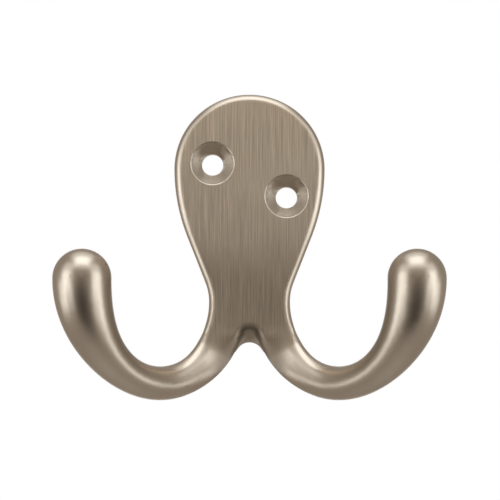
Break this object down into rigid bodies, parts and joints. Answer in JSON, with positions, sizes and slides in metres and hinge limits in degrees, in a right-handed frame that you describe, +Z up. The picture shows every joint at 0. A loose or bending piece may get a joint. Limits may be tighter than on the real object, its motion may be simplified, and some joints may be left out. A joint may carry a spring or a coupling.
{
  "type": "double robe hook",
  "caption": "Wall-mounted robe hook: a keyhole-shaped plate with diagonal countersunk screw holes that splits into round arms sweeping outward, forward and up to bulbs.",
  "frame": {"origin": "on the wall plane (the plate's back face), midway between the two screw holes", "axes": "+Y into the wall, the front faces -Y; +Z up; +X to the right for someone facing the hook"},
  "size_m": [0.0702, 0.0275, 0.0574],
  "materials": {
    "satin_nickel": "satin nickel plating on zinc, the plate's flat front brushed up and down, the arms smooth"
  },
  "bodies": {
    "root": {"hook_casting": "satin_nickel"}
  },
  "joints": []
}
